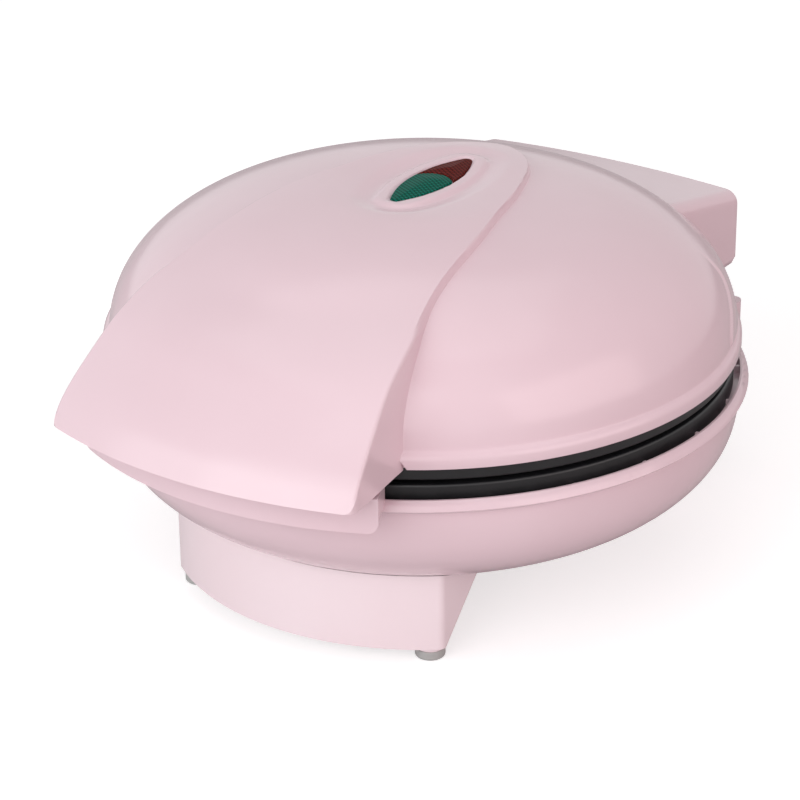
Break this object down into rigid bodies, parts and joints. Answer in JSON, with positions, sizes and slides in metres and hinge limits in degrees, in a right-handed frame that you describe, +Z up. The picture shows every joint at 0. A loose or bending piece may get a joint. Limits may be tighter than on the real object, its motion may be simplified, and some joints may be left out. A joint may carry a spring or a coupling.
{
  "type": "cupcake maker",
  "caption": "Round countertop cupcake maker with a domed lid that opens about a rear hinge, deep cups in the lower plate, and a broad front handle.",
  "frame": {"origin": "on the table, under the middle of the overall box, lid closed", "axes": "+X to the right seen from the handle, +Y from the handle to the hinge, +Z up"},
  "size_m": [0.2206, 0.2618, 0.1321],
  "materials": {
    "pink_plastic": "glossy pale pink moulding",
    "nonstick_aluminium": "die-cast, with a black non-stick coating",
    "element_steel": "oxidised sheath",
    "shield_aluminium": "bright sheet",
    "plated_steel": "zinc plated",
    "pin_steel": "drawn and polished",
    "foot_rubber": "translucent grey",
    "green_lens": "tinted, patterned inside",
    "red_lens": "tinted, patterned inside",
    "lamp_glass": "clear bulb",
    "holder_plastic": "satin",
    "terminal_plastic": "satin",
    "thermostat_body": "moulded, satin",
    "fuse_can": "bright",
    "bush_plastic": "satin"
  },
  "bodies": {
    "base": {"base_housing": "pink_plastic", "front_stand": "pink_plastic", "rear_stand": "pink_plastic", "rubber_feet": "foot_rubber", "stand_screws": "plated_steel", "lower_plate": "nonstick_aluminium", "lower_heating_element": "element_steel", "lower_element_clips": "plated_steel", "lower_clip_screws": "plated_steel", "lower_heat_shield": "shield_aluminium", "lower_shield_screws": "plated_steel", "housing_screws": "plated_steel", "terminal_block": "terminal_plastic", "terminal_screws": "plated_steel", "thermostat": "thermostat_body", "thermal_fuse": "fuse_can", "fuse_clip": "plated_steel", "inlet_bush": "bush_plastic"},
    "lid": {"lid_cover": "pink_plastic", "lid_frame": "pink_plastic", "upper_plate": "nonstick_aluminium", "upper_heating_element": "element_steel", "upper_element_clips": "plated_steel", "upper_clip_screws": "plated_steel", "upper_heat_shield": "shield_aluminium", "upper_shield_screws": "plated_steel", "upper_plate_screws": "plated_steel", "cover_screws": "plated_steel", "hinge_pins": "pin_steel", "green_lens": "green_lens", "red_lens": "red_lens", "lamp_holder": "holder_plastic", "signal_lamps": "lamp_glass", "lamp_screws": "plated_steel"}
  },
  "joints": [
    {"name": "lid_hinge", "type": "hinge", "parent": "base", "child": "lid", "pos_m": [0, 0.1231, 0.067], "axis": [-1, 0, 0], "range_deg": [0, 95]}
  ]
}
